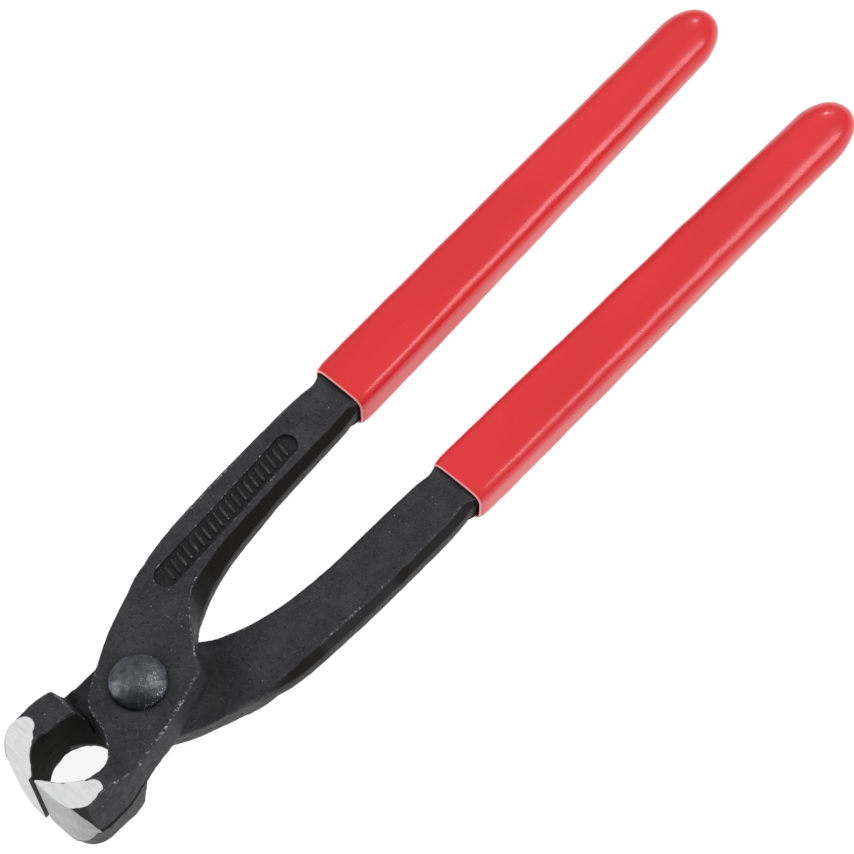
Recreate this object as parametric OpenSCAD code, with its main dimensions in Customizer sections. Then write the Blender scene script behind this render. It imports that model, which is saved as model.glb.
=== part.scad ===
// End-cutting pincers: two identical forged levers, one of them turned over, lapped on a domed
// rivet, with a slip-on plastic sleeve on each handle.
// The origin is at floor level under the middle of the outline. +X runs from the jaws to the
// handle ends, +Y to the handle of the front (upper) lever, +Z up through the rivet.

/* [Overall] */
// Length from the cutting edge to the ends of the sleeves
overall_length = 220; // [214:0.5:226]
// Distance from the rivet to the cutting edge
jaw_reach = 26.5; // [26:0.1:27]
// Length of the cutting edge, which is the height of the tool as it lies
jaw_depth = 22.4; // [21.6:0.1:24]
// Gap between the two cutting edges as the tool lies
edge_gap = 0.64; // [0.5:0.02:1]

/* [Levers] */
// Thickness of one cheek, which is half of the lap joint
cheek_thickness = 7.4; // [7:0.1:7.8]
// Gap between the two lapped cheeks
lap_gap = 0.1; // [0.06:0.01:0.2]
// Thickness of a bare handle just before its sleeve
shank_thickness = 8.8; // [8.4:0.1:9.2]
// Height of the throat behind the cutting edges
throat_width = 12.1; // [11:0.1:12.6]
// Depth of the sunk panel on the handle's flat
panel_depth = 0.5; // [0.3:0.05:0.8]

/* [Rivet] */
// Diameter of the rivet's body
rivet_diameter = 7; // [6:0.1:8]
// Diameter of the domed head
head_diameter = 11.2; // [10:0.1:12]
// Height of the domed head
head_height = 3.4; // [2.8:0.1:3.6]
// Radial clearance in the lever that turns on the rivet
turning_clearance = 0.05; // [0.02:0.01:0.09]

/* [Sleeves] */
// Distance from the rivet to the mouth of a sleeve
sleeve_start = 70.2; // [69.5:0.1:72]
// Width of a sleeve near its mouth, across the handles
sleeve_width = 13.6; // [13.2:0.1:14.2]
// Width of a sleeve near its end
sleeve_end_width = 12.1; // [11.6:0.1:12.6]
// Thickness of a sleeve near its mouth
sleeve_thickness = 11; // [10.6:0.1:11.6]
// Thickness of a sleeve near its end
sleeve_end_thickness = 10; // [9.6:0.1:10.4]

/* [Hidden] */

// Facets of round things; true circles in the exact model
round_fn = 64;
// Reach of a cutting tool past the metal that it cuts
past = 1;
// Straight steps between two points of a smooth run
run_steps = 4;

pivot_x = jaw_reach - overall_length / 2;
half_depth = jaw_depth / 2;
lap = lap_gap / 2;
half_shank = shank_thickness / 2;
throat_r = throat_width / 2;
throat_x = -16.3;
sleeve_end = overall_length - jaw_reach;

// The lever's lap is a round seat about the rivet. It is wider towards the handles, where it
// runs out in a cone, and narrower towards the jaws.
seat_r_handle = 15;
seat_cone_r = 19.6;
seat_r_jaw = 11;

// Centre line of a sleeve: y at its mouth and at its end
sleeve_y = 15.55;
sleeve_end_y = 18.6;
// Length over which a sleeve rounds to its end
sleeve_nose = 10;
// Lip length at a sleeve's mouth, and how much narrower the mouth is
lip = 1.2;
lip_inset = 0.45;
// Exponent of a sleeve's rounded oblong section, and points round it
squareness = 3;
section_points = 40;

// The bare handle ends just before its sleeve, and the tang is the part inside the sleeve
bare_end = sleeve_start - 0.3;
tang_start = sleeve_start;
tang_end = sleeve_end - 9;
tang_width = 10.4;
tang_end_width = 8.8;
tang_thickness = 7.8;

// Smooth curve through four points, from b to c as t goes from 0 to 1
function catmull(a, b, c, d, t) =
    0.5 * (2 * b + (c - a) * t + (2 * a - 5 * b + 4 * c - d) * t * t
        + (3 * b - a - 3 * c + d) * t * t * t);

// Points along a smooth curve through all the points p
function run(p) = [
    for (i = [0:len(p) - 2], k = [0:run_steps - 1])
        catmull(p[max(i - 1, 0)], p[i], p[i + 1], p[min(i + 2, len(p) - 1)], k / run_steps),
    p[len(p) - 1]
];

// Points on an arc from angle a to angle b
function arc(cx, cy, r, a, b, n = 8) =
    [for (i = [0:n]) [cx + r * cos(a + (b - a) * i / n), cy + r * sin(a + (b - a) * i / n)]];

// y of a sleeve's centre line at x
function sleeve_centre(x) =
    sleeve_y + (sleeve_end_y - sleeve_y) * (x - sleeve_start) / (sleeve_end - sleeve_start);

// How far the middle of the two jaws lies off the line of the handles, towards the front jaw
jaw_shift = 0.6;

// The front lever's outline seen from above, anticlockwise from the sleeve. Its handle is at
// y > 0 and its jaw at y < 0. The rivet is at 0, 0.
outer_side = run([[bare_end, 21.35], [62, 21.3], [52, 21.1], [42, 20.8], [32, 20.2], [25.8, 19.5],
    [20, 18.1], [15, 16.2], [10.8, 14.3], [6.6, 12.6], [2.5, 10.9], [-1.6, 8.9], [-5, 7.1],
    [-8, 5.2], [-9.7, 3.2], [-10.3, 0.6], [-10.8, -1.5], [-11.8, -3.4]]);
cutting_edge = [[-jaw_reach + 1.2, -1.3], [-jaw_reach, -edge_gap / 2]];
jaw_side = [[-jaw_reach, -3], [-26.2, -6.4], [-25.2, -8.8], [-23.4, -10.4], [-20.5, -11.1],
    [-16.5, -11.3], [-12.5, -11.3], [-9, -11.2], [-6, -11]];
cheek_side = [[0, -9.8], [9.2, -7]];
cheek_corner = arc(9.1, -5.9, 1.1, -65, 5, 4);
inner_side = run([[10.9, -4.6], [11.9, -2.8], [13.6, -0.6], [15.6, 1.4], [17.6, 2.9], [21.7, 4.8],
    [25.8, 6.1], [32, 7.4], [42, 8.4], [52, 8.8], [62, 9.3], [bare_end, 9.6]]);

// The whole outline, with the jaw and its throat moved by shift
function lever_outline(shift) = concat(outer_side, arc(throat_x, shift, throat_r, -42, -128),
    cutting_edge, run([for (p = jaw_side) [p.x, p.y + shift * min(1, -p.y / 8)]]), cheek_side,
    cheek_corner, inner_side);

// The front lever's outline seen from the side, as x and z: the jaw is the full depth, the cheek
// is above the lap, and the handle comes down to the middle of the tool.
top_side = run([[9, cheek_thickness], [20, 6.8], [35, 5.6], [50, 4.7], [bare_end, half_shank]]);
under_side = [[bare_end, -half_shank], [5, -half_shank], [5, lap], [-9, lap],
    [-12.5, -half_depth], [-jaw_reach - past, -half_depth]];
jaw_top = [[-jaw_reach - past, half_depth], [-17, half_depth], [-12, cheek_thickness]];
lever_profile = concat(jaw_top, top_side, under_side);

// From here to its sleeve the handle has drafted sides: it is widest over a band at the parting
// line and narrower at its two flats
draft_start = 18;
draft_full = 30;
draft_step = 2.6;
parting_band = 1.3;
draft_inset = 1.1;
// The drafted stretch starts inside the root, a hair slimmer than it
shy = 0.08;

// The drafted handle's section at x, as eight points anticlockwise seen from the sleeve
function handle_section(x) = let (
    outer = lookup(x, outer_side) - shy, inner = lookup(x, inner_side) + shy,
    top = lookup(x, top_side) - shy, under = shy - half_shank, middle = (top + under) / 2,
    inset = draft_inset * max(0.1, min(1, (x - draft_start) / (draft_full - draft_start))))
    [[x, outer, middle - parting_band], [x, outer, middle + parting_band],
     [x, outer - inset, top], [x, inner + inset, top],
     [x, inner, middle + parting_band], [x, inner, middle - parting_band],
     [x, inner + inset, under], [x, outer - inset, under]];

// The sunk panel's two end centres, as x, y and z on the handle's flat, and its width
panel_from = [18.6, 11.4, 6.9];
panel_to = [54, 14.3, 4.56];
panel_width = 4.8;

// Everything is drawn about the rivet at mid-depth, and put here on the floor
module in_place() translate([pivot_x, 0, half_depth]) children();

// The front lever turned over is the rear one
module turned_over() rotate([180, 0, 0]) children();

// A cutter for the round lap seat, open downwards
module lap_seat() {
    cone_z = -half_shank - past;
    cone_far_r = seat_r_handle + (seat_cone_r - seat_r_handle) * -cone_z / half_shank;
    translate([0, 0, -half_depth - past]) cylinder(r = seat_r_jaw, h = half_depth + past + lap, $fn = round_fn);
    intersection() {
        translate([0, -40, -half_depth - past]) cube([80, 80, half_depth + past + lap]);
        rotate_extrude($fn = round_fn) polygon([[0, lap], [seat_r_handle, lap],
            [cone_far_r, cone_z], [cone_far_r, -half_depth - past], [0, -half_depth - past]]);
    }
}

// A cutter for the sunk panel, laid along the handle's sloping flat
module sunk_panel() {
    along = panel_to - panel_from;
    length = norm(along);
    translate(panel_from) rotate([0, -asin(along.z / length), atan2(along.y, along.x)])
        translate([0, 0, -panel_depth]) linear_extrude(2) {
            translate([0, -panel_width / 2]) square([length, panel_width]);
            for (x = [0, length]) translate([x, 0]) circle(d = panel_width, $fn = round_fn);
        }
}

// The drafted stretch of the handle, lofted through its sections
module drafted_handle() {
    sides = 8;
    first = draft_start - 0.4;
    count = ceil((bare_end - first) / draft_step);
    stations = [for (i = [0:count]) first + (bare_end - first) * i / count];
    polyhedron(points = [for (x = stations) each handle_section(x)],
        faces = concat([[for (k = [0:sides - 1]) k]],
            [for (i = [0:count - 1], k = [0:sides - 1]) let (n = (k + 1) % sides)
                [i * sides + k, (i + 1) * sides + k, (i + 1) * sides + n, i * sides + n]],
            [[for (k = [sides - 1:-1:0]) count * sides + k]]));
}

// The tang: a flat bar that the sleeve is pushed over
module tang() {
    linear_y = [[bare_end - 0.01, sleeve_centre(tang_start), tang_width / 2],
        [tang_end, sleeve_centre(tang_end), tang_end_width / 2]];
    translate([0, 0, -tang_thickness / 2]) linear_extrude(tang_thickness)
        polygon([[linear_y[0][0], linear_y[0][1] - linear_y[0][2]],
            [linear_y[1][0], linear_y[1][1] - linear_y[1][2]],
            [linear_y[1][0], linear_y[1][1] + linear_y[1][2]],
            [linear_y[0][0], linear_y[0][1] + linear_y[0][2]]]);
}

// One forged lever in the front lever's place, with a rivet hole of radius hole_r and its jaw
// moved by shift
module lever(hole_r, shift) {
    difference() {
        union() {
            intersection() {
                translate([0, 0, -half_depth]) linear_extrude(jaw_depth) polygon(lever_outline(shift));
                rotate([90, 0, 0]) translate([0, 0, -40]) linear_extrude(80) polygon(lever_profile);
                translate([-40, -40, -40]) cube([40 + draft_start, 80, 80]);
            }
            drafted_handle();
        }
        lap_seat();
        sunk_panel();
        translate([0, 0, -past]) cylinder(r = hole_r, h = cheek_thickness + 2 * past, $fn = round_fn);
    }
    tang();
}

// A rounded oblong section of the given half sizes
module oblong(half_w, half_t) {
    polygon([for (i = [0:section_points - 1]) let (a = 360 * i / section_points)
        [half_t * sign(cos(a)) * pow(abs(cos(a)), 2 / squareness),
         half_w * sign(sin(a)) * pow(abs(sin(a)), 2 / squareness)]]);
}

// A thin slice of a sleeve at x, inset by the given amount or shrunk by the given share
module sleeve_slice(x, inset = 0, share = 1) {
    part_way = (x - sleeve_start) / (sleeve_end - sleeve_start);
    half_w = (sleeve_width + (sleeve_end_width - sleeve_width) * part_way) / 2;
    half_t = (sleeve_thickness + (sleeve_end_thickness - sleeve_thickness) * part_way) / 2;
    slice = 0.01;
    translate([x - slice, sleeve_centre(x), 0]) rotate([0, 90, 0]) linear_extrude(slice)
        oblong((half_w - inset) * share, (half_t - inset) * share);
}

// A sleeve's outer shape: a lip, a long taper and a rounded nose
module sleeve_body() {
    nose_x = sleeve_end - sleeve_nose;
    hull() {
        sleeve_slice(sleeve_start + 0.01, lip_inset);
        sleeve_slice(sleeve_start + lip);
        for (a = [0:18:72]) sleeve_slice(nose_x + sleeve_nose * sin(a), 0, cos(a));
        sleeve_slice(sleeve_end, 0, 0.16);
    }
}

module front_lever() {
    color([0.2, 0.2, 0.22]) in_place() lever(rivet_diameter / 2, -jaw_shift);
}

module rear_lever() {
    color([0.26, 0.26, 0.29]) in_place() turned_over()
        lever(rivet_diameter / 2 + turning_clearance, jaw_shift);
}

// Domed head on the front lever, body, and a flatter head that was closed over the rear lever
module pivot_rivet() {
    wall = 0.9;
    rise = head_height - wall;
    dome_r = (pow(head_diameter / 2, 2) + rise * rise) / (2 * rise);
    tail_diameter = 10;
    tail_height = 1.8;
    tail_z = -cheek_thickness - turning_clearance;
    color([0.28, 0.3, 0.34]) in_place() {
        translate([0, 0, tail_z]) cylinder(d = rivet_diameter, h = cheek_thickness - tail_z, $fn = round_fn);
        translate([0, 0, cheek_thickness]) intersection() {
            cylinder(d = head_diameter, h = head_height, $fn = round_fn);
            translate([0, 0, head_height - dome_r]) sphere(r = dome_r, $fn = round_fn);
        }
        translate([0, 0, tail_z - tail_height])
            cylinder(d1 = tail_diameter - 3, d2 = tail_diameter, h = tail_height, $fn = round_fn);
    }
}

module front_sleeve() {
    color([0.8, 0.15, 0.17]) in_place() difference() {
        sleeve_body();
        tang();
    }
}

module rear_sleeve() {
    color([0.8, 0.15, 0.17]) in_place() turned_over() difference() {
        sleeve_body();
        tang();
    }
}

front_lever();
rear_lever();
pivot_rivet();
front_sleeve();
rear_sleeve();
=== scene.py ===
"""End-cutting pincers: two forged levers lapped on a domed rivet, with a plastic sleeve on each handle.

Every piece is modelled in millimetres about the rivet, with the rivet along Z and the handles
towards +X, and is then scaled to metres and put at its place in the frame. The rear lever and
its sleeve are modelled as front ones and turned over.
"""

import logging
from dataclasses import dataclass
from enum import Enum
from math import ceil, cos, pi, radians, sin
from typing import Callable, Sequence

import bpy
import numpy as np
from mathutils import Matrix, Vector, noise


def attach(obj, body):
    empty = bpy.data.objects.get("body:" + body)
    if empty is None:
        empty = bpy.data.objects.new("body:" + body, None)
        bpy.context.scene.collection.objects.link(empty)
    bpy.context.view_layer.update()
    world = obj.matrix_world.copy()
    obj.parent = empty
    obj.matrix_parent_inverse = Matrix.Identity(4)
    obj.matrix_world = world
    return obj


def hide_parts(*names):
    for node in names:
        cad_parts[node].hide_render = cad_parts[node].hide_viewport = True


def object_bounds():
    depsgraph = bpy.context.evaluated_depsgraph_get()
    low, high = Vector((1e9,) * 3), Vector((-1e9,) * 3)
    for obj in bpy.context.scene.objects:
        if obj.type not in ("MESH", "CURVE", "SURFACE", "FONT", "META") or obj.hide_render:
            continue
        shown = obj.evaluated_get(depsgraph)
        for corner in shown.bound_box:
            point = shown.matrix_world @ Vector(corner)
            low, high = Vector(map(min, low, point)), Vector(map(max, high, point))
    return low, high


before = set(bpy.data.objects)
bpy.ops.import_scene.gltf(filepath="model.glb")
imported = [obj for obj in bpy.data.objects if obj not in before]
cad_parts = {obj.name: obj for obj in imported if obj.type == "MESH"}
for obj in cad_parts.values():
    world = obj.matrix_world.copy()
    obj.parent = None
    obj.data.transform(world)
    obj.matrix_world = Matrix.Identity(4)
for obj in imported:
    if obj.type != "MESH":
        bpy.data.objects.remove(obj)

log = logging.getLogger("pincers")

Point = tuple[float, float, float]
Row = tuple[float, float, float, float]

MM = 0.001
RIVET_X = -0.0835
CAD_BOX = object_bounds()
MIDDLE_Z = (CAD_BOX[0].z + CAD_BOX[1].z) / 2

# along a handle, in mm from the rivet
MOUTH_X = 70.2
NOSE_X = 193.5
TANG_FROM = 71.5
TANG_TO = 184.5


class Side(Enum):
    """Which of the two levers a piece belongs to."""

    FRONT = "front"
    REAR = "rear"

    @property
    def body(self) -> str:
        """The frame's body that this side's pieces ride on."""
        return f"{self.value}_half"

    @property
    def turn(self) -> Matrix:
        """The turn that takes a front piece to this side."""
        return Matrix.Rotation(pi if self is Side.REAR else 0.0, 4, "X")


# ---------------------------------------------------------------- bench work


def pick_none() -> None:
    """Leaves object mode's selection empty."""
    for other in bpy.context.selected_objects:
        other.select_set(False)


def take_up(piece: bpy.types.Object) -> None:
    """Makes one piece the only selected and the active one."""
    pick_none()
    piece.select_set(True)
    bpy.context.view_layer.objects.active = piece


def edit(piece: bpy.types.Object, *steps: Callable[[], object]) -> None:
    """Runs edit-mode steps on all of a piece.

    Args:
        piece: The piece to work on.
        steps: Calls that each run one operator.
    """
    take_up(piece)
    bpy.ops.object.mode_set(mode="EDIT")
    bpy.ops.mesh.select_mode(type="VERT")
    bpy.ops.mesh.select_all(action="SELECT")
    for step in steps:
        step()
    bpy.ops.object.mode_set(mode="OBJECT")


def points_of(piece: bpy.types.Object) -> np.ndarray:
    """The piece's vertices as an array of rows."""
    flat = np.zeros(len(piece.data.vertices) * 3)
    piece.data.vertices.foreach_get("co", flat)
    return flat.reshape(-1, 3)


def normals_of(piece: bpy.types.Object) -> np.ndarray:
    """The piece's vertex normals as an array of rows."""
    flat = np.zeros(len(piece.data.vertices) * 3)
    piece.data.vertices.foreach_get("normal", flat)
    return flat.reshape(-1, 3)


def put_points(piece: bpy.types.Object, points: np.ndarray) -> None:
    """Gives the piece's vertices new places."""
    piece.data.vertices.foreach_set("co", points.astype(np.float32).ravel())
    piece.data.update()


def ease(value: np.ndarray, start: float, end: float) -> np.ndarray:
    """A smooth step from 0 at start to 1 at end."""
    share = np.clip((value - start) / (end - start), 0, 1)
    return share * share * (3 - 2 * share)


def near(x: np.ndarray, y: np.ndarray, a: Sequence[float], b: Sequence[float], wide: float = 4) -> np.ndarray:
    """How near points are to the stretch from a to b: 1 on it, 0 from wide mm away."""
    run = np.subtract(b, a)
    share = np.clip(((x - a[0]) * run[0] + (y - a[1]) * run[1]) / (run @ run), 0, 1)
    return 1 - ease(np.hypot(x - a[0] - share * run[0], y - a[1] - share * run[1]), wide * 0.5, wide)


def apply(piece: bpy.types.Object, kind: str, **settings: object) -> None:
    """Adds a modifier to a piece and applies it.

    Args:
        piece: The piece.
        kind: The modifier's type.
        settings: Its settings by name.
    """
    take_up(piece)
    modifier = piece.modifiers.new(kind.title(), kind)
    for name, value in settings.items():
        setattr(modifier, name, value)
    bpy.ops.object.modifier_apply(modifier=modifier.name)


def stack(name: str, rings: Sequence[Sequence[Point]]) -> bpy.types.Object:
    """A closed solid drawn up from a disc: each ring is extruded from the one below it.

    Args:
        name: The piece's name.
        rings: Rings of equally many points, from the first cap to the last.

    Returns:
        The piece, with its normals outwards.
    """
    pick_none()
    count = len(rings[0])
    bpy.ops.mesh.primitive_circle_add(vertices=count, radius=1, fill_type="NGON")
    piece = bpy.context.object
    piece.name = piece.data.name = name
    put_points(piece, np.array(rings[0], float))
    bpy.ops.object.mode_set(mode="EDIT")
    bpy.ops.mesh.select_mode(type="FACE")
    bpy.ops.mesh.select_all(action="SELECT")
    for below, ring in zip(rings, rings[1:]):
        bpy.ops.mesh.extrude_region_move()
        bpy.ops.object.mode_set(mode="OBJECT")
        place = {tuple(np.round(np.float32(p), 4)): q for p, q in zip(below, ring)}
        for vertex in piece.data.vertices:
            if vertex.select:
                vertex.co = place[tuple(np.round(np.float32(vertex.co[:]), 4))]
        bpy.ops.object.mode_set(mode="EDIT")
    bpy.ops.mesh.select_all(action="SELECT")
    bpy.ops.mesh.normals_make_consistent(inside=False)
    bpy.ops.object.mode_set(mode="OBJECT")
    return piece


def prism(name: str, outline: Sequence[tuple[float, float]], low: float, high: float) -> bpy.types.Object:
    """A straight prism on a flat outline, between two heights."""
    return stack(name, [[(x, y, z) for x, y in outline] for z in (low, high)])


def turned(name: str, profile: Sequence[tuple[float, float]], segments: int = 96) -> bpy.types.Object:
    """A solid of revolution about Z.

    Args:
        name: The piece's name.
        profile: Radius and height of each ring, from the bottom.
        segments: Points in a ring.

    Returns:
        The piece.
    """
    turns = [2 * pi * k / segments for k in range(segments)]
    return stack(name, [[(r * cos(a), r * sin(a), z) for a in turns] for r, z in profile])


def cut(piece: bpy.types.Object, tools: Sequence[bpy.types.Object], way: str = "DIFFERENCE") -> None:
    """Works a piece with other solids, which are used up. New faces take the tools' finishes.

    Args:
        piece: The piece.
        tools: The solids, which don't touch each other unless way is INTERSECT.
        way: DIFFERENCE, UNION or INTERSECT.
    """
    for tool in tools:
        apply(piece, "BOOLEAN", operation=way, object=tool, solver="EXACT", material_mode="TRANSFER")
        bpy.data.objects.remove(tool)


def smooth_where(piece: bpy.types.Object, chosen: np.ndarray, repeat: int) -> None:
    """Rounds off the chosen vertices of a piece by a number of smoothing passes."""
    take_up(piece)
    piece.data.polygons.foreach_set("select", np.zeros(len(piece.data.polygons), bool))
    piece.data.edges.foreach_set("select", np.zeros(len(piece.data.edges), bool))
    piece.data.vertices.foreach_set("select", chosen)
    bpy.ops.object.mode_set(mode="EDIT")
    bpy.ops.mesh.select_mode(type="VERT")
    bpy.ops.mesh.vertices_smooth(factor=0.5, repeat=repeat)
    bpy.ops.object.mode_set(mode="OBJECT")


def roughen(piece: bpy.types.Object, depth: float, size: float, share: np.ndarray) -> None:
    """Moves the surface in and out a little, as a forging's skin.

    Args:
        piece: The piece.
        depth: Most movement, mm.
        size: Size of the unevenness, mm.
        share: How much of the movement each vertex takes, 0 to 1.
    """
    points = points_of(piece)
    lift = np.array([noise.fractal(Vector(p) / size, 0.8, 2.0, 3, noise_basis="PERLIN_NEW") for p in points])
    put_points(piece, points + normals_of(piece) * (depth * share * lift)[:, None])


def mark_edges(piece: bpy.types.Object, worn: np.ndarray) -> None:
    """Stores how sharp and how exposed each vertex is, for the finish to wear away there and to darken as
    painted shade where exposure is low.

    Args:
        piece: The piece.
        worn: How exposed each vertex is to knocks, 0 to 1, lowered where shade is painted.
    """
    points, normals = points_of(piece), normals_of(piece)
    ends = np.zeros(len(piece.data.edges) * 2, np.int64)
    piece.data.edges.foreach_get("vertices", ends)
    a, b = ends.reshape(-1, 2).T
    span = points[b] - points[a]
    bend = ((normals[b] - normals[a]) * span).sum(1) / np.maximum((span**2).sum(1), 1e-4)
    total, times = np.zeros(len(points)), np.zeros(len(points))
    for end in (a, b):
        np.add.at(total, end, bend)
        np.add.at(times, end, 1)
    sharp = np.clip(total / np.maximum(times, 1), 0, 2) * worn
    for name, values in (("worn_edge", sharp), ("wear_and_painted_shade", worn)):
        attribute = piece.data.attributes.new(name, "FLOAT", "POINT")
        attribute.data.foreach_set("value", values.astype(np.float32))


def settle(piece: bpy.types.Object, side: Side, slot: str, *nodes: str) -> None:
    """Puts a finished piece at its place in the frame and hides the CAD parts it stands for.

    Args:
        piece: The piece, in millimetres about the rivet, as a front one.
        side: The side it belongs to.
        slot: A material slot's name, not used.
        nodes: The CAD nodes it stands for.
    """
    place = Matrix.Translation((RIVET_X, 0, MIDDLE_Z)) @ Matrix.Scale(MM, 4) @ side.turn
    piece.data.transform(place)
    take_up(piece)
    bpy.ops.object.shade_smooth_by_angle(angle=radians(38))
    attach(piece, side.body)
    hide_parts(*nodes)
    log.info("%s: %d faces, rides on %s", piece.name, len(piece.data.polygons), side.body)


def curve_through(rows: Sequence[Sequence[float]], steps: int) -> np.ndarray:
    """Rows along a smooth curve through all the given rows, with steps to each stretch."""
    p = np.array(rows, float)
    out = []
    for i in range(len(p) - 1):
        a, b, c, d = p[max(i - 1, 0)], p[i], p[i + 1], p[min(i + 2, len(p) - 1)]
        for t in np.arange(steps) / steps:
            out.append(0.5 * (2 * b + (c - a) * t + (2 * a - 5 * b + 4 * c - d) * t * t
                              + (3 * b - a - 3 * c + d) * t**3))
    return np.array(out + [p[-1]])


# ------------------------------------------------------------------ finishes


class Recipe:
    """A material being built, with one short method for each step of it."""

    def __init__(self, name: str) -> None:
        """Starts an empty material with a shader and an output."""
        self.material = bpy.data.materials.new(name)
        self.material.use_nodes = True
        self.tree = self.material.node_tree
        self.tree.nodes.clear()
        self.shader = self.tree.nodes.new("ShaderNodeBsdfPrincipled")
        output = self.tree.nodes.new("ShaderNodeOutputMaterial")
        self.tree.links.new(self.shader.outputs["BSDF"], output.inputs["Surface"])
        self.place = self.tree.nodes.new("ShaderNodeTexCoord").outputs["Object"]

    def add(self, kind: str, sockets: dict[str, object], out: int | str = 0,
            **settings: object) -> bpy.types.NodeSocket:
        """Adds a node.

        Args:
            kind: The node's type, without ShaderNode.
            sockets: Value or linked output for each input by name.
            out: The output that is wanted.
            settings: The node's own settings.

        Returns:
            That output.
        """
        node = self.tree.nodes.new("ShaderNode" + kind)
        for name, value in settings.items():
            setattr(node, name, value)
        for name, value in sockets.items():
            if isinstance(value, bpy.types.NodeSocket):
                self.tree.links.new(value, node.inputs[name])
            else:
                node.inputs[name].default_value = value
        return node.outputs[out]

    def noise(self, size: float, detail: float = 3, rough: float = 0.55, stretch: Point = (1, 1, 1),
              turn: float = 0) -> bpy.types.NodeSocket:
        """Noise with features of a size in mm, stretched along an axis and turned about Z."""
        scale = tuple(1 / (MM * size * s) for s in stretch)
        place = self.add("Mapping", {"Vector": self.place, "Rotation": (0, 0, turn), "Scale": scale})
        return self.add("TexNoise", {"Vector": place, "Scale": 1.0, "Detail": detail, "Roughness": rough})

    def cells(self, size: float) -> bpy.types.NodeSocket:
        """Distance to the nearest of scattered points, a size in mm apart."""
        return self.add("TexVoronoi", {"Vector": self.place, "Scale": 1 / (MM * size), "Randomness": 1})

    def between(self, value: bpy.types.NodeSocket, low: float, high: float, to_low: float = 0,
                to_high: float = 1) -> bpy.types.NodeSocket:
        """The value's range from low to high, drawn out to another range and held there."""
        return self.add("MapRange", {"Value": value, "From Min": low, "From Max": high,
                                     "To Min": to_low, "To Max": to_high}, interpolation_type="SMOOTHSTEP")

    def sum(self, kind: str, a: object, b: object) -> bpy.types.NodeSocket:
        """A sum of two values: ADD, MULTIPLY, MAXIMUM and so on."""
        node = self.tree.nodes.new("ShaderNodeMath")
        node.operation = kind
        for k, value in enumerate((a, b)):
            if isinstance(value, bpy.types.NodeSocket):
                self.tree.links.new(value, node.inputs[k])
            else:
                node.inputs[k].default_value = value
        return node.outputs[0]

    def blend(self, share: bpy.types.NodeSocket, a: object, b: object) -> bpy.types.NodeSocket:
        """Colour a where share is 0 and b where it is 1."""
        node = self.tree.nodes.new("ShaderNodeMix")
        node.data_type = "RGBA"
        self.tree.links.new(share, node.inputs[0])
        for k, value in ((6, a), (7, b)):
            if isinstance(value, bpy.types.NodeSocket):
                self.tree.links.new(value, node.inputs[k])
            else:
                node.inputs[k].default_value = (*value, 1)
        return node.outputs[2]

    def own(self, name: str) -> bpy.types.NodeSocket:
        """A number that the piece's own mesh holds at each vertex."""
        return self.add("Attribute", {}, "Fac", attribute_name=name)

    def along(self, axis: int) -> bpy.types.NodeSocket:
        """The place along X, Y or Z, in metres."""
        return self.add("SeparateXYZ", {"Vector": self.place}, axis)

    def bump(self, height: bpy.types.NodeSocket, depth: float, strength: float = 1,
             under: bpy.types.NodeSocket | None = None) -> bpy.types.NodeSocket:
        """A bumpy surface, with a depth in mm, on top of another."""
        sockets = {"Height": height, "Distance": depth * MM, "Strength": strength}
        if under is not None:
            sockets["Normal"] = under
        return self.add("Bump", sockets)

    def finish(self, **inputs: object) -> bpy.types.Material:
        """Sets the shader's inputs by name, spaces as underscores, and gives the material."""
        for name, value in inputs.items():
            socket = self.shader.inputs[name.replace("_", " ")]
            if isinstance(value, bpy.types.NodeSocket):
                self.tree.links.new(value, socket)
            elif isinstance(value, tuple):
                socket.default_value = (*value, 1)
            else:
                socket.default_value = value
        return self.material


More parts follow.
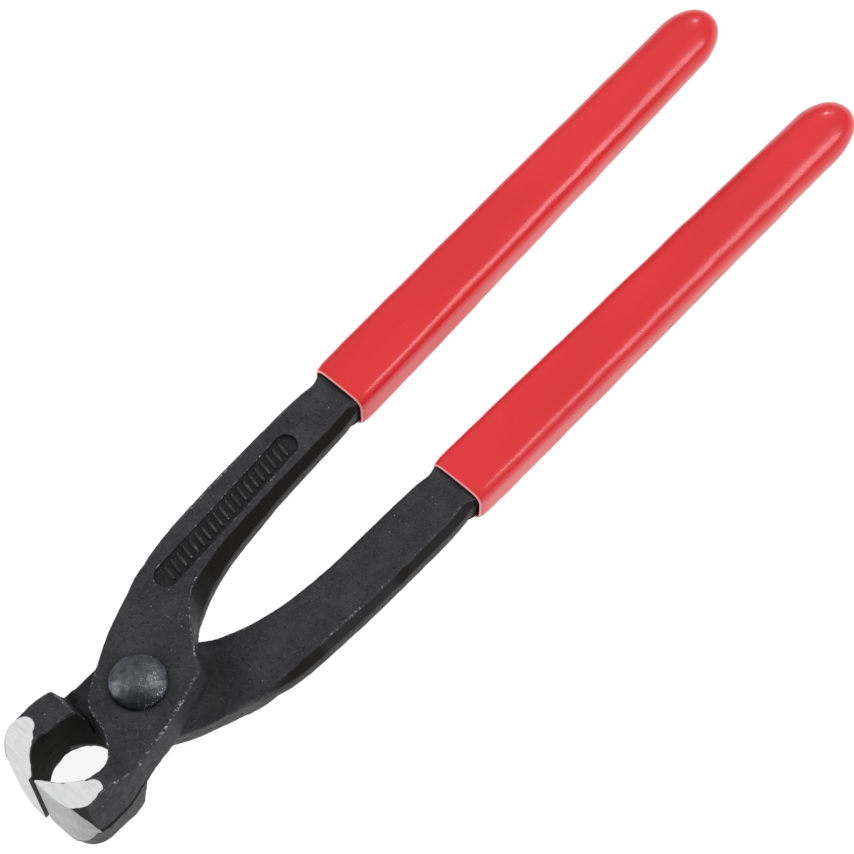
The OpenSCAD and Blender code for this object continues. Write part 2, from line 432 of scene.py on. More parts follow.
@dataclass(frozen=True)
class BlackForging:
    """Phosphated forging: satin black, fine speckle, bright where the edges are knocked.

    The piece's own attribute of wear and shade says where: painted shade, darker and duller, at 0, scratched
    and nicked at 1.
    """

    name: str = "black_forging"
    black: Point = (0.023, 0.023, 0.026)
    grey: Point = (0.037, 0.0365, 0.0395)
    # painted shade: the near-black that the finish darkens to where wear and shade are low
    painted_shade: Point = (0.007, 0.006, 0.005)
    bare: Point = (0.42, 0.42, 0.44)

    def make(self) -> bpy.types.Material:
        """Builds the material."""
        r = Recipe(self.name)
        wear_and_shade_level = r.own("wear_and_painted_shade")
        colour = r.blend(r.between(r.noise(5, 4), 0.35, 0.7), self.black, self.grey)
        grain = r.noise(0.42, 4, 0.7)
        colour = r.blend(r.between(grain, 0.52, 0.72, 0, 0.6), colour, (0.085, 0.085, 0.088))
        pits = r.between(r.noise(0.7, 3, 0.6), 0.30, 0.44, 0.7, 0)
        colour = r.blend(pits, colour, (0.006, 0.006, 0.008))
        # painted shade: where the level of wear and shade is low, the black darkens to near black, in the
        # throat, on the walls, in the panel and round the cheek
        colour = r.blend(r.between(wear_and_shade_level, 0.02, 0.3, 1, 0), colour, self.painted_shade)
        dots = r.between(r.cells(1.5), 0.05, 0.085, 1, 0)
        few = r.between(r.noise(2.2, 2), 0.5, 0.6)
        speck = r.sum("MULTIPLY", dots, r.sum("MULTIPLY", few, r.between(wear_and_shade_level, 0.2, 0.34)))
        nicks = r.between(r.noise(0.55, 5, 0.75), 0.5, 0.62)
        here = r.between(r.noise(4, 2), 0.33, 0.55)
        edge = r.sum("MULTIPLY", r.between(r.own("worn_edge"), 0.22, 0.6), r.sum("MULTIPLY", nicks, here))
        scratch = r.between(r.noise(0.9, 6, 0.7, (0.18, 1, 1), 0.8), 0.65, 0.7)
        scratch = r.sum("MULTIPLY", scratch, r.between(wear_and_shade_level, 0.5, 0.9, 0, 0.8))
        worn = r.sum("MAXIMUM", r.sum("MAXIMUM", edge, scratch), r.sum("MULTIPLY", speck, 0.6))
        colour = r.blend(worn, colour, self.bare)
        skin = r.bump(grain, 0.06, 0.7)
        skin = r.bump(r.noise(1.6, 3), 0.06, 0.35, skin)
        rough = r.between(r.noise(1.2, 4), 0.3, 0.7, 0.48, 0.66)
        rough = r.sum("MAXIMUM", rough, r.between(wear_and_shade_level, 0.02, 0.3, 0.9, 0.4))
        return r.finish(Base_Color=colour, Metallic=r.sum("MULTIPLY", worn, 0.6), Roughness=rough,
                        Normal=skin, Specular_IOR_Level=0.17)


@dataclass(frozen=True)
class GroundSteel:
    """Fine-ground bare steel on the jaws: light matte grey with faint grinding lines."""

    name: str = "ground_steel"
    tone: float = 0.73

    def make(self) -> bpy.types.Material:
        """Builds the material."""
        r = Recipe(self.name)
        lines = r.noise(0.28, 4, 0.6, (1, 14, 14), 0.5)
        cloud = r.noise(3.0, 4)
        share = r.sum("ADD", r.sum("MULTIPLY", lines, 0.6), r.sum("MULTIPLY", cloud, 0.5))
        light = (self.tone, self.tone, self.tone * 1.008)
        dull = tuple(0.8 * part for part in light)
        colour = r.blend(r.between(share, 0.35, 0.8), light, dull)
        return r.finish(Base_Color=colour, Metallic=0.35, Normal=r.bump(lines, 0.02, 0.5),
                        Roughness=r.between(cloud, 0.3, 0.7, 0.42, 0.55))


@dataclass(frozen=True)
class RivetSteel:
    """The rivet's steel: blued dark, mottled by the hammer, darker at the head's foot and over the dome's
    lower side as painted shade, with bright scratches kept to the side towards the light as painted
    highlight.
    """

    dark: Point = (0.050, 0.054, 0.063)
    blue: Point = (0.12, 0.13, 0.15)
    bare: Point = (0.75, 0.76, 0.78)
    foot: float = MIDDLE_Z + 7.5 * MM

    def make(self) -> bpy.types.Material:
        """Builds the material."""
        r = Recipe("rivet_steel")
        mottle = r.noise(1.3, 6, 0.7)
        colour = r.blend(r.between(mottle, 0.3, 0.8), self.dark, self.blue)
        # painted shade: darker in a ring at the head's foot and over the dome's lower side
        painted_shade_foot = r.between(r.along(2), self.foot, self.foot + 1.5 * MM, 0.9, 0)
        low = r.between(r.sum("ADD", r.along(0), r.along(1)), RIVET_X - 6 * MM, RIVET_X - 1.5 * MM, 0.85, 0)
        colour = r.blend(r.sum("MAXIMUM", painted_shade_foot, low), colour, (0.010, 0.010, 0.012))
        scratch = r.between(r.noise(0.45, 6, 0.8, (0.5, 1, 1), 0.6), 0.57, 0.63)
        # the scratches are real wear, but are kept to the dome's side towards the light, as painted highlight
        right = r.between(r.sum("SUBTRACT", r.along(0), r.along(1)), RIVET_X - 0.8 * MM, RIVET_X + 1.5 * MM)
        where = r.sum("MULTIPLY", r.between(r.noise(2.2, 2), 0.42, 0.55), right)
        bright = r.sum("MULTIPLY", scratch, where)
        colour = r.blend(bright, colour, self.bare)
        skin = r.bump(r.noise(0.4, 4, 0.7), 0.05, 0.6, r.bump(mottle, 0.12, 0.7))
        return r.finish(Base_Color=colour, Metallic=0.75, Normal=skin,
                        Roughness=r.between(mottle, 0.3, 0.7, 0.26, 0.45))


@dataclass(frozen=True)
class RedSleeveVinyl:
    """Dipped vinyl: glossy red with faint flow marks, paler in a thin rim at the mouth."""

    red: Point = (0.665, 0.023, 0.027)
    deep: Point = (0.61, 0.017, 0.020)
    pale: Point = (0.86, 0.36, 0.36)
    rim: tuple[float, float] = (0.12, 0.42)

    def make(self) -> bpy.types.Material:
        """Builds the material."""
        r = Recipe("red_sleeve")
        cloud = r.noise(14, 3, 0.5, (3, 1, 1))
        colour = r.blend(r.between(cloud, 0.35, 0.65), self.red, self.deep)
        mouth = RIVET_X + MOUTH_X * MM
        thin = r.between(r.along(0), mouth + self.rim[0] * MM, mouth + self.rim[1] * MM, 1, 0)
        colour = r.blend(thin, colour, self.pale)
        peel = r.noise(1.1, 2)
        skin = r.bump(peel, 0.02, 0.35)
        return r.finish(Base_Color=colour, Normal=skin, Coat_Weight=0.15, Coat_Roughness=0.06,
                        Roughness=r.between(cloud, 0.3, 0.7, 0.24, 0.34), Specular_IOR_Level=0.3)


@dataclass(frozen=True)
class PaleFloor:
    """A plain white studio table, lit from below so that shadows on it are faint."""

    white: Point = (0.20, 0.20, 0.20)
    glow: float = 0.90

    def make(self) -> bpy.types.Material:
        """Builds the material."""
        r = Recipe("pale_floor")
        colour = r.blend(r.noise(60, 2), self.white, (0.18, 0.18, 0.18))
        return r.finish(Base_Color=colour, Roughness=0.9, Emission_Color=(1.0, 1.0, 1.0),
                        Emission_Strength=self.glow)


# -------------------------------------------------------------------- levers


@dataclass
class Lever:
    """One forged lever, modelled as the front one: handle at y > 0, jaw at y < 0.

    The forging is drawn as its outline at the parting plane. Each row of an outline is x, y, the
    draft (mm of inset per mm away from the parting plane) and the lean (mm of inset per mm up).
    """

    side: Side
    black: bpy.types.Material
    steel: bpy.types.Material
    shaded_face_steel: bpy.types.Material
    recess: bpy.types.Material
    half_depth: float = 11.2
    cheek: float = 7.4
    half_shank: float = 4.4
    lap: float = 0.05
    jaw_reach: float = 26.5
    jaw_step: float = 0.5
    jaw_shift: float = 0.6
    grain: float = 0.3
    outer: Sequence[Row] = (
        (73, 20.6, 0, 0), (70.6, 20.7, 0, 0), (68, 21.0, 0, 0), (65, 21.3, 0, 0), (61, 21.4, 0, 0),
        (52, 21.25, 0, 0), (42, 21.0, 0, 0), (32, 20.5, 0.02, 0), (25.8, 19.95, 0.04, 0),
        (20, 19.0, 0.06, 0), (15, 17.3, 0.12, 0), (10.8, 15.4, 0.14, 0), (6.6, 13.7, 0.14, 0),
        (2.5, 12.1, 0.14, 0), (-1.6, 9.95, 0.14, 0), (-5, 7.8, 0.10, 0), (-8, 5.4, 0.04, 0),
        (-9.7, 3.3, 0.02, 0), (-10.4, 0.7, 0.02, 0), (-10.9, -1.4, 0.02, 0),
        (-12.1, -3.4, 0.01, 0.01), (-13.4, -4.7, 0, 0.05), (-14.7, -5.5, 0, 0.09),
        (-16.2, -5.9, 0, 0.11), (-17.9, -6.0, 0, 0.10), (-19.5, -6.0, 0, 0.06),
        (-21, -5.4, 0, 0.02), (-22.4, -4.5, 0, 0), (-23.6, -3.2, 0, 0), (-24.4, -2.0, 0, 0),
        (-25.3, -0.8, 0, 0), (-26.1, 0.1, 0, 0), (-26.6, 1.0, 0, 0))
    inner: Sequence[Row] = (
        (-27.9, 1.0, 0, 0), (-27.9, -3, 0.06, 0), (-27.5, -6.4, 0.10, 0.01),
        (-26.6, -9.2, 0.12, 0.02), (-24.9, -11.3, 0.14, 0.02), (-22.5, -12.5, 0.155, 0.03),
        (-19.7, -12.85, 0.17, 0.03), (-16.1, -12.7, 0.15, 0.03), (-13.5, -12.1, 0.13, 0.02),
        (-11.2, -11.6, 0.12, 0), (-8.4, -11.4, 0.14, 0), (-3.3, -11.1, 0.15, 0),
        (0, -10.3, 0.14, 0), (4, -9.15, 0.13, 0), (8.4, -7.9, 0.12, 0), (9.9, -7.3, 0.12, 0),
        (10.8, -6.2, 0.12, 0), (11.2, -4.8, 0.1, 0), (11.9, -3.3, 0.06, 0),
        (13.6, -1.2, 0.04, 0), (15.6, 0.7, 0.03, 0), (17.6, 2.1, 0.03, 0), (21.7, 4.1, 0.03, 0),
        (25.8, 5.45, 0.02, 0), (32, 6.9, 0, 0), (42, 8.0, 0, 0), (52, 8.55, 0, 0),
        (62, 9.05, 0, 0), (66, 9.3, 0, 0), (68.6, 9.7, 0, 0), (70.6, 10.1, 0, 0), (73, 10.3, 0, 0))
    band: float = 1.3
    shank_draft: float = 1.35
    draft_limit: float = 1.9
    parting_step: float = 0.45
    ramp: Sequence[tuple[float, float]] = (
        (36, -6.2), (32, -5.0), (29, -4.3), (26, -3.55), (23.5, -2.85), (21, -2.1), (18.8, -1.4),
        (16.8, -0.62), (15.2, -0.1), (14.6, 0.05))
    panel_from: Point = (18.6, 11.4, 6.9)
    panel_to: Point = (54, 14.3, 4.56)
    panel_width: float = 4.8
    panel_depth: float = 0.5
    ribs: int = 20

    @property
    def name(self) -> str:
        """The piece's name."""
        return f"{self.side.value}_lever_forging"

    @property
    def shift(self) -> float:
        """How far this jaw is off its nominal place along y, as modelled."""
        return -self.jaw_shift if self.side is Side.FRONT else self.jaw_shift

    def outline(self, z: float) -> list[Point]:
        """The forging's outline at a height, with its draft and its leaning throat wall.

        Args:
            z: The height above the parting plane.

        Returns:
            The ring of points at that height.
        """
        rows = np.vstack([curve_through(self.outer, 3), curve_through(self.inner, 3)])
        x, y, draft, lean = rows.T
        off_jaw = ease(x, -12, -4)
        y = y + self.shift * np.clip(-y / 8, 0, 1) * (1 - off_jaw)
        tangent = np.column_stack([np.roll(x, -1) - np.roll(x, 1), np.roll(y, -1) - np.roll(y, 1)])
        tangent /= np.linalg.norm(tangent, axis=1)[:, None]
        past_band = np.clip((abs(z) - self.band) / (self.half_shank - self.band), 0, self.draft_limit)
        shank = self.shank_draft * ease(x, 12, 22) * (1 - ease(x, 68, 70)) * past_band
        # the die's halves are a little out of line, which leaves a step below the jaw's parting line
        step = self.parting_step * ease(-z, 0.1, 0.5) * ease(-x, 5, 9) * ease(-y, 6, 8)
        inset = draft * abs(z) + lean * z + shank + step
        handle_back, jaw_back = y > 8, y < -8
        if self.side is Side.FRONT:
            # a slimmer shoulder, and a fuller jaw block below the lap
            inset += 0.2 * ease(x, 5, 12) * handle_back
            inset -= 0.45 * ease(-z, 0.5, 6) * ease(-x, 9, 12) * (1 - ease(-x, 13, 18)) * jaw_back
        else:
            # a fuller shoulder, a slimmer bow of the handle and side of the cheek, a tighter throat
            inset -= 0.15 * ease(x, -3, 2) * (1 - ease(x, 22, 30)) * handle_back
            inset += 0.6 * ease(x, 14, 20) * (1 - ease(x, 36, 62)) * (y < 14)
            inset += 0.4 * ease(-x, 1, 4) * (1 - ease(-x, 7, 9)) * jaw_back
            inset -= (0.4 * lean * z * (z > 0)
                      + 0.4 * ease(z, 2, 8) * ease(-x, 9, 11) * (1 - ease(-x, 14, 17)) * (y > -8))
        # the rings run anticlockwise, so a tangent turned to its left points into the metal
        return [(px - ty * d, py + tx * d, z) for px, py, (tx, ty), d in zip(x, y, tangent, inset)]

    def blank(self) -> bpy.types.Object:
        """The forging before it is machined: outline and side profile, with the lap hollowed."""
        half = self.half_depth
        shank, band = self.half_shank, self.band
        levels = (-half, -7.2, -shank, -band, -0.5, -0.1, band, shank, 5.8, 7.2, half)
        piece = stack(self.name, [self.outline(z) for z in levels])
        # seen from the side as x and z: under the handle, the lap, the jaw, and back over the cheek
        profile = [(74, -3.9), (70.6, -3.95), (68.6, -shank), (5, -shank), (5, self.lap),
                   (-9.8, self.lap), (-12.3, -half), (-30, -half), (-30, half), (-17.4, half),
                   (-14.6, 9.3), (-12.4, 7.6), (-11.2, self.cheek), (9, self.cheek), (20, 6.8),
                   (35, 5.6), (50, 4.7), (68.6, shank), (70.6, 3.95), (74, 3.9)]
        sheet = stack("profile", [[(x, y, z) for x, z in profile] for y in (-40, 40)])
        cut(piece, [sheet], "INTERSECT")
        hollow = turned("hollow", [(36, -14), *self.ramp])
        edit(hollow, lambda: bpy.ops.mesh.bisect(
            plane_co=(0.01, 0, 0), plane_no=(1, 0, 0), use_fill=True, clear_inner=True))
        cut(piece, [hollow, turned("seat", [(11, -14), (11, self.lap)])])
        return piece

    def soften(self, piece: bpy.types.Object) -> None:
        """Gives the blank a forging's soft edges and slightly uneven skin."""
        apply(piece, "REMESH", mode="VOXEL", voxel_size=self.grain)
        x, y, z = points_of(piece).T
        handle_off_band, jaw_shoulder = (x > 15) & (abs(z) > 1), (x < -6) & (x > -20) & (y < -8) & (z > 4)
        under_ramp = (np.hypot(x, y) > 13.2) & (x > 0) & (z < 1)
        smooth_where(piece, np.ones(len(x), bool), 2)
        smooth_where(piece, handle_off_band, 1)
        smooth_where(piece, jaw_shoulder, 10)
        smooth_where(piece, under_ramp, 4)
        # walls first and then flats, so that the corners between them stay
        smooth_where(piece, np.abs(normals_of(piece)[:, 2]) < 0.3, 6)
        smooth_where(piece, np.abs(normals_of(piece)[:, 2]) > 0.95, 6)
        x, y, z = points_of(piece).T
        free = 1 - (np.hypot(x, y) < 16) * (z < 0.6)
        roughen(piece, 0.06, 6.0, free)
        roughen(piece, 0.035, 1.5, free)

    def ground_tools(self) -> list[bpy.types.Object]:
        """The grinding cuts: the jaw's front, its two flat ends and the cutting edge's land."""
        shift, far = self.shift, 14
        front_lever = self.side is Side.FRONT
        reach = -self.jaw_reach + (self.jaw_step if front_lever else 0)
        front = curve_through([(reach, 2.5), (reach, -2.5), (reach + 0.2, -6.3), (reach + 1.1, -9.2),
                               (reach + 2.3, -11.2), (reach + 3.6, -12.9), (reach + 5, -14.4)], 4)
        outline = [(x, y + shift * min(1, max(0, -y / 8))) for x, y in front]
        outline += [(-31, -15), (-31, 2.5)]
        tilt = (-0.5, 0.1) if front_lever else (0.1, -0.5)
        tools = [stack("front_grind", [[(x + tip, y, z) for x, y in outline]
                                       for tip, z in zip(tilt, (-far, far))])]
        bend = [(-20.15 + 1.85 * cos(a), -8.75 + shift + 1.85 * sin(a))
                for a in (radians(d) for d in range(-80, 81, 16))]
        crescent = [(-31, 3), (-31, -17), (-21.6, -17), (-21.2, -11.2 + shift), *bend,
                    (-20.4, -5.6), (-22, -3), (-23.5, 3)]
        for low, high in ((self.half_depth - 0.1, far), (-far, 0.1 - self.half_depth)):
            tools.append(prism("end_grind", crescent, low, high))
        # the cutting edge's land is ground, but takes the black forging finish: painted shade in the slit
        # between the jaws
        edge = -0.55 if front_lever else -0.42
        land = [(-30.3, edge), (-21.8, edge), (-21.8, 5.2), (-30.3, 5.2)]
        tools.append(prism("edge_grind", land, -far, far))
        # the jaw's front takes its side's darker copy of the ground steel, painted shade
        for tool, finish in zip(tools, (self.shaded_face_steel, self.steel, self.steel, self.black)):
            tool.data.materials.append(finish)
        return tools

    def along_panel(self) -> Matrix:
        """The place of the sunk panel: X runs along it and Z out of the handle's flat."""
        start, run = Vector(self.panel_from), Vector(self.panel_to) - Vector(self.panel_from)
        x = run.normalized()
        y = Vector((0, 0, 1)).cross(x).normalized()
        turn = Matrix((x, y, x.cross(y))).transposed()
        return Matrix.Translation(start) @ turn.to_4x4()

    def panel_tools(self) -> tuple[bpy.types.Object, bpy.types.Object]:
        """The cutter of the sunk panel, and the row of slanted ribs that stand in it."""
        length = (Vector(self.panel_to) - Vector(self.panel_from)).length
        half = self.panel_width / 2
        ends = [radians(d) for d in range(-90, 91, 15)]
        outline = ([(length + half * cos(a), half * sin(a)) for a in ends]
                   + [(-half * cos(a), -half * sin(a)) for a in ends])
        flare = [[(x, y * s, z) for x, y in outline]
                 for z, s in ((-self.panel_depth, 0.95), (0.2, 1.04), (2, 1.04))]
        cutter = stack("panel", flare)
        # the panel's floor and walls take the darker recess copy of the black forging: painted shade in the
        # recess
        cutter.data.materials.append(self.recess)
        row = [self.rib(length * (k + 0.5) / self.ribs, 0.5, half - 0.7) for k in range(self.ribs)]
        ribs = row[0]
        for rib in row[1:]:
            take_up(ribs)
            rib.select_set(True)
            bpy.ops.object.join()
        for tool in (cutter, ribs):
            tool.data.transform(self.along_panel())
        return cutter, ribs

    def rib(self, x: float, lean: float, half: float) -> bpy.types.Object:
        """One raised rib across the panel.

        Args:
            x: Its middle along the panel.
            lean: How far each of its ends is off that middle.
            half: Half its height across the panel.

        Returns:
            The rib, with its foot just under the panel's floor.
        """
        foot, top = -self.panel_depth - 0.2, -0.06
        rings = []
        for z, wide, share in ((foot, 0.66, 1), (top - 0.16, 0.46, 1), (top, 0.28, 0.93)):
            turns = [2 * pi * n / 12 for n in range(12)]
            rings.append([(x + wide * cos(a) + lean * np.sign(sin(a)) * abs(sin(a)) ** 0.5 * share,
                           half * share * np.sign(sin(a)) * abs(sin(a)) ** 0.4, z) for a in turns])
        piece = stack("rib", rings)
        piece.data.materials.append(self.black)
        return piece

    def tang(self) -> bpy.types.Object:
        """The flat bar inside the sleeve."""
        sections = ((TANG_FROM, 5.2, 3.9), (TANG_TO - 1, 4.4, 3.9), (TANG_TO, 3.8, 3.3))
        rings = []
        for x, half, high in sections:
            middle = sleeve_middle(x, self.side)
            rings.append([(x, middle - half, -high), (x, middle + half, -high),
                          (x, middle + half, high), (x, middle - half, high)])
        piece = stack("tang", rings)
        piece.data.materials.append(self.black)
        return piece

    def wear_and_shade_map(self, piece: bpy.types.Object) -> np.ndarray:
        """How exposed each vertex is to knocks, the cheek's corner and lower edge most, pulled low where
        shade is painted.
        """
        x, y, z = points_of(piece).T
        wall = 1 - np.abs(normals_of(piece)[:, 2])
        worn = np.full(len(x), 0.34)
        # knocked: round the cheek's corners, the bows of both handles and the foot of the jaw
        worn += 0.6 * near(x, y, (12, -4.5), (1, -10.2)) * ease(z, 0, 2)
        worn += 0.45 * near(x, y, (1, -10.2), (-9, -11.6)) * ease(z, 0, 2)
        worn += 0.35 * near(x, y, (-9, -11.6), (-20, -12.6)) * ease(z, 0, 2)
        worn += 0.3 * near(x, y, (12, -3), (22, 4.5))
        worn += 0.5 * near(x, y, (31, 20.5), (45, 21)) + 0.3 * near(x, y, (54, 21), (66, 21))
        worn += 0.4 * near(x, y, (-11.3, -10.8), (-12, -7.5), 3) * ease(-z, 6, 10)
        # painted shade, pulled low so that the finish darkens: the throat, the block's slope and the jaw's
        # upper wall, with painted shadows along the parting line and of the cheek on the lap
        throat = np.maximum(near(x, y, (-11, -3), (-21, -7), 4.5), near(x, y, (-19, -6), (-26, 0.5), 3))
        slope = near(x, y, (-10, -4), (-10.5, -9), 3.5) * ease(-z, 0.3, 1)
        worn -= 0.34 * np.maximum(throat, slope) * wall * (1 - ease(abs(z), 9.5, 11))
        worn -= 0.26 * ease(-x, 6, 9) * ease(-y, 7, 9) * wall * ease(z, 0, 0.6)
        worn -= 0.3 * ease(-x, 6, 9) * ease(-y, 7, 9) * (1 - ease(abs(z - 0.6), 0.4, 1.0))
        away = np.hypot(x, y)
        worn -= 0.15 * ease(away, 10, 13) * (1 - ease(away, 13, 23)) * (x > 0) * (z < 1)
        # the throat's upper rim is worn bright again; the handle's walls and the panel are spared from knocks
        # and darkened as painted shade
        rim = near(x, y, (-5, 7.5), (-10.4, 0.5)) + near(x, y, (-10.6, 0), (-13, -4.5), 3)
        worn += 0.3 * rim * ease(z, 5.5, 7)
        worn *= 1 - 0.85 * ease(x, 8, 22) * ease(wall, 0.15, 0.5) * ease(abs(z), 1.2, 1.7)
        start, end = self.panel_from, self.panel_to
        worn *= 1 - 0.35 * near(x, y, start[:2], end[:2], 2.6) * ease(z, 3, 4)
        return np.clip(worn, 0, 1)

    def build(self) -> bpy.types.Object:
        """Builds the lever and puts it in the frame.

        Returns:
            The lever.
        """
        piece = self.blank()
        piece.data.materials.clear()
        piece.data.materials.append(self.black)
        self.soften(piece)
        cut(piece, self.ground_tools())
        cutter, ribs = self.panel_tools()
        hole = turned("hole", [(3.5 if self.side is Side.FRONT else 3.55, z) for z in (-1, 9)])
        hole.data.materials.append(self.black)
        cut(piece, [cutter, hole])
        cut(piece, [ribs, self.tang()], "UNION")
        mark_edges(piece, self.wear_and_shade_map(piece))
        settle(piece, self.side, "black_forging", f"{self.side.value}_lever")
        return piece


# --------------------------------------------------------------------- rivet


@dataclass
class Rivet:
    """The joint's rivet: a hammered dome on the front lever and a flat closed head behind."""

    steel: bpy.types.Material
    radius: float = 3.5
    cheek: float = 7.4
    clearance: float = 0.05
    head_radius: float = 5.6
    head_wall: float = 0.9
    head_height: float = 3.4
    flattening: float = 0.10
    flat_radius: float = 2.0
    tail_radius: float = 5.0
    tail_height: float = 1.8

    def build(self) -> bpy.types.Object:
        """Builds the rivet and puts it in the frame.

        Returns:
            The rivet.
        """
        tail = -self.cheek - self.clearance
        rise = self.head_height - self.head_wall
        dome = (self.head_radius**2 + rise**2) / (2 * rise)
        middle = self.cheek + self.head_height - dome
        foot = self.cheek
        profile = [(self.radius - 0.5, tail - self.tail_height),
                   (self.radius, tail - self.tail_height + 0.12),
                   (self.tail_radius - 0.15, tail - 0.2), (self.tail_radius, tail - 0.05),
                   (self.tail_radius - 0.05, tail), (self.radius, tail), (self.radius, foot),
                   (self.head_radius - 0.25, foot), (self.head_radius - 0.04, foot + 0.25),
                   (self.head_radius, foot + self.head_wall * 0.7)]
        for k in range(1, 24):
            r = self.head_radius * (1 - k / 24)
            z = middle + (dome**2 - r**2) ** 0.5
            profile.append((r, z - self.flattening * max(0, 1 - r / self.flat_radius) ** 2))
        piece = turned("hammered_rivet", profile)
        piece.data.materials.append(self.steel)
        points = points_of(piece)
        roughen(piece, 0.12, 2.2, ease(points[:, 2], foot + 0.5, foot + 1.3))
        settle(piece, Side.FRONT, "rivet_steel", "pivot_rivet")
        return piece


# ------------------------------------------------------------------- sleeves


def sleeve_middle(x: float, side: Side) -> float:
    """y of a side's sleeve centre line at x."""
    mouth, tip = (15.43, 18.78) if side is Side.FRONT else (15.66, 18.15)
    return mouth + (tip - mouth) * (x - MOUTH_X) / (NOSE_X - MOUTH_X)


@dataclass
class Sleeve:
    """A hollow dipped sleeve: a soft lip at its mouth, a long taper and a rounded nose."""

    side: Side
    vinyl: bpy.types.Material
    start: float = MOUTH_X
    end: float = 193.2
    half_wide: tuple[float, float] = (6.56, 6.28)
    half_thick: tuple[float, float] = (5.45, 5.15)
    nose: float = 10.0
    squareness: tuple[float, float] = (5.0, 2.0)
    bore_wide: tuple[float, float] = (5.25, 4.45)
    bore_thick: float = 3.95
    points: int = 72

    def ring(self, x: float, inset: float = 0, share: float = 1) -> list[Point]:
        """A rounded oblong ring.

        Args:
            x: Its place along the handle.
            inset: How much smaller it is all round, mm.
            share: Its size as a share of the full section.

        Returns:
            The ring's points.
        """
        part = (x - self.start) / (self.end - self.start)
        power = self.squareness[0] + (self.squareness[1] - self.squareness[0]) * part
        wide = (self.half_wide[0] + (self.half_wide[1] - self.half_wide[0]) * part - inset) * share
        thick = (self.half_thick[0] + (self.half_thick[1] - self.half_thick[0]) * part - inset) * share
        middle = sleeve_middle(x, self.side)
        return self.oblong(x, middle, wide, thick, 2 / power)

    def cavity(self, x: float, grow: float) -> list[Point]:
        """A ring of the bore that the tang fills, a little larger than the tang."""
        part = (x - TANG_FROM) / (TANG_TO - TANG_FROM)
        wide = self.bore_wide[0] + (self.bore_wide[1] - self.bore_wide[0]) * part + grow
        return self.oblong(x, sleeve_middle(x, self.side), wide, self.bore_thick + grow, 0.3)

    def oblong(self, x: float, middle: float, wide: float, thick: float, power: float) -> list[Point]:
        """A ring across the handle: an ellipse at power 1, squarer the lower power is."""
        turns = [2 * pi * k / self.points for k in range(self.points)]
        return [(x, middle + wide * np.sign(sin(a)) * abs(sin(a)) ** power,
                 thick * np.sign(cos(a)) * abs(cos(a)) ** power) for a in turns]

    def build(self) -> bpy.types.Object:
        """Builds the sleeve and puts it in the frame.

        Returns:
            The sleeve.
        """
        rings = [self.cavity(TANG_TO + 0.3, 0.0), self.cavity(130, 0.0), self.cavity(75.5, 0.05)]
        # the lip, from inside the mouth round to the outer wall
        for depth, inset in ((3.6, 1.3), (2.4, 1.0), (1.0, 0.92), (0.35, 0.86), (0.08, 0.74),
                             (0, 0.62), (0.07, 0.48), (0.25, 0.36), (0.55, 0.28), (1.0, 0.18),
                             (1.8, 0.08), (3.0, 0.02)):
            rings.append(self.ring(self.start + depth, inset))
        nose_x, wall_from = self.end - self.nose, self.start + 5
        steps = ceil((nose_x - self.start - 5) / 2.5)
        rings += [self.ring(wall_from + (nose_x - self.start - 5) * k / steps) for k in range(steps + 1)]
        for degrees in (*range(8, 80, 8), 80, 84, 87):
            a = radians(degrees)
            rings.append(self.ring(nose_x + self.nose * sin(a), 0, cos(a) ** 0.92))
        piece = stack(f"{self.side.value}_vinyl_sleeve", rings)
        piece.data.materials.append(self.vinyl)
        apply(piece, "SUBSURF", levels=1, render_levels=1)
        x = points_of(piece)[:, 0]
        roughen(piece, 0.10, 9.0, ease(x, self.start + 3, self.start + 8))
        settle(piece, self.side, "red_sleeve", f"{self.side.value}_sleeve")
        return piece


# -------------------------------------------------------------------- studio


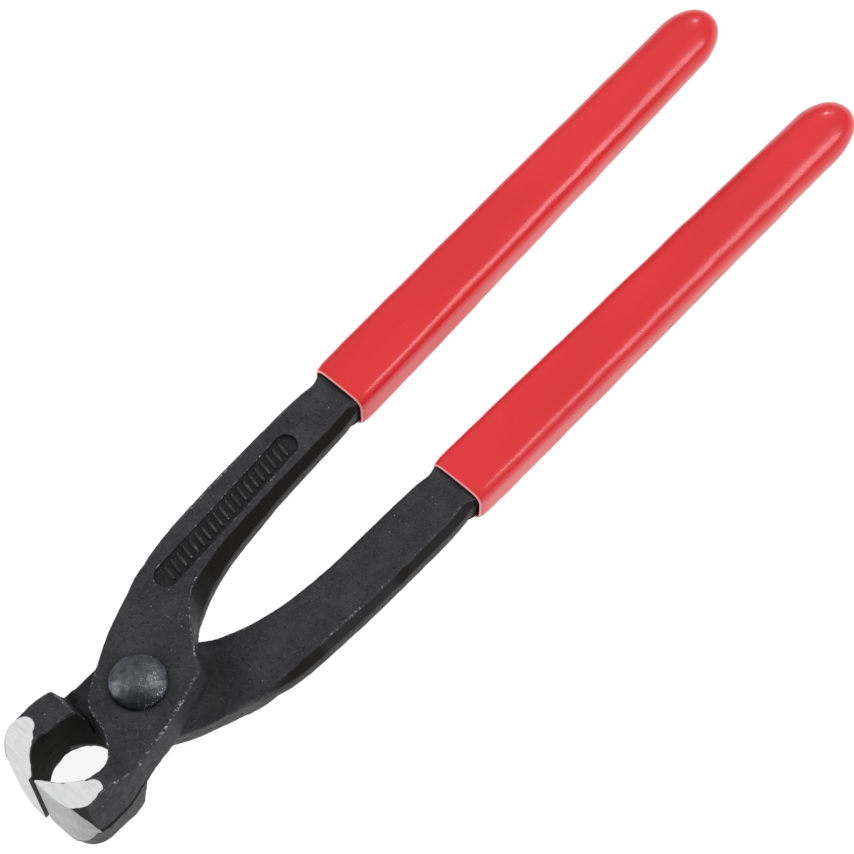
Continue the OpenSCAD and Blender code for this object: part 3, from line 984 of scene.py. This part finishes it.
@dataclass
class Studio:
    """The floor, the soft lights and the camera."""

    eye: Point = (-0.15020, -0.12993, 0.39063)
    view: Point = (0.33798, 0.30066, -0.89184)
    right: Point = (0.6652, -0.7466, 0.0)
    lens: float = 90.74
    sensor: float = 36.0
    walls: float = 0.22
    ceiling: float = 0.85

    def lay_floor(self) -> None:
        """Lays a wide pale floor under the tool."""
        pick_none()
        bpy.ops.mesh.primitive_plane_add(size=6, location=(0, 0, -0.0002))
        floor = bpy.context.object
        floor.name = "studio_floor"
        edit(floor, lambda: bpy.ops.mesh.subdivide(number_cuts=4))
        floor.data.materials.append(PaleFloor().make())

    def light(self, name: str, place: Point, size: tuple[float, float], power: float,
              target: Point = (0, 0, 0)) -> None:
        """Hangs a soft box.

        Args:
            name: Its name.
            place: Where it hangs, in metres.
            size: Its width and height.
            power: Its power in watts.
            target: What it points at.
        """
        data = bpy.data.lights.new(name, "AREA")
        data.shape = "RECTANGLE"
        data.size, data.size_y = size
        data.energy = power
        lamp = bpy.data.objects.new(name, data)
        bpy.context.scene.collection.objects.link(lamp)
        lamp.location = place
        lamp.rotation_euler = (Vector(target) - Vector(place)).to_track_quat("-Z", "Y").to_euler()

    def hang_lights(self) -> None:
        """Hangs the soft boxes in a room that is bright overhead and darker at its walls."""
        world = bpy.data.worlds.new("studio_room")
        bpy.context.scene.world = world
        world.use_nodes = True
        nodes, links = world.node_tree.nodes, world.node_tree.links
        height = nodes.new("ShaderNodeSeparateXYZ")
        links.new(nodes.new("ShaderNodeTexCoord").outputs["Generated"], height.inputs[0])
        shade = nodes.new("ShaderNodeMapRange")
        shade.interpolation_type = "SMOOTHSTEP"
        for name, value in (("From Min", 0.1), ("From Max", 0.75), ("To Min", self.walls),
                            ("To Max", self.ceiling)):
            shade.inputs[name].default_value = value
        links.new(height.outputs["Z"], shade.inputs["Value"])
        links.new(shade.outputs[0], nodes["Background"].inputs["Strength"])
        nodes["Background"].inputs["Color"].default_value = (1, 1, 1, 1)
        self.light("side_soft_box", (0.62, -0.62, 0.78), (0.28, 0.9), 6)
        self.light("small_lamp", (0.83, 0.30, 0.47), (0.07, 0.07), 0.5)
        self.light("left_soft_box", (-0.74, 0.60, 0.36), (0.45, 0.45), 3.5)

    def place_camera(self) -> None:
        """Stands the camera at its place."""
        data = bpy.data.cameras.new("studio_camera")
        data.lens, data.sensor_width = self.lens, self.sensor
        data.clip_start, data.clip_end = 0.01, 20
        camera = bpy.data.objects.new("studio_camera", data)
        bpy.context.scene.collection.objects.link(camera)
        view, right = Vector(self.view).normalized(), Vector(self.right).normalized()
        up = right.cross(view)
        turn = Matrix((right, up, -view)).transposed().to_4x4()
        camera.matrix_world = Matrix.Translation(self.eye) @ turn
        bpy.context.scene.camera = camera

    def build(self) -> None:
        """Sets up the studio."""
        bpy.context.scene.view_settings.view_transform = "Standard"
        self.lay_floor()
        self.hang_lights()
        self.place_camera()


def main() -> None:
    """Builds every piece in order."""
    logging.basicConfig(level=logging.INFO, format="%(name)s: %(message)s")
    Studio().build()
    black, steel = BlackForging().make(), GroundSteel().make()
    # a darker copy of the black forging for the sunk panel: painted shade in the recess
    recess = BlackForging("black_recess_painted_shade", (0.009, 0.009, 0.010), (0.015, 0.015, 0.016)).make()
    # darker copies of the ground steel for the jaws' ground fronts, painted shade: much darker on the front
    # lever, a little darker on the rear
    faces = {Side.FRONT: GroundSteel("ground_steel_front_shaded", 0.36).make(),
             Side.REAR: GroundSteel("ground_steel_rear_shaded", 0.62).make()}
    vinyl = RedSleeveVinyl().make()
    for side in Side:
        Lever(side, black, steel, faces[side], recess).build()
        Sleeve(side, vinyl).build()
    Rivet(RivetSteel().make()).build()


if __name__ == "__main__":
    main()
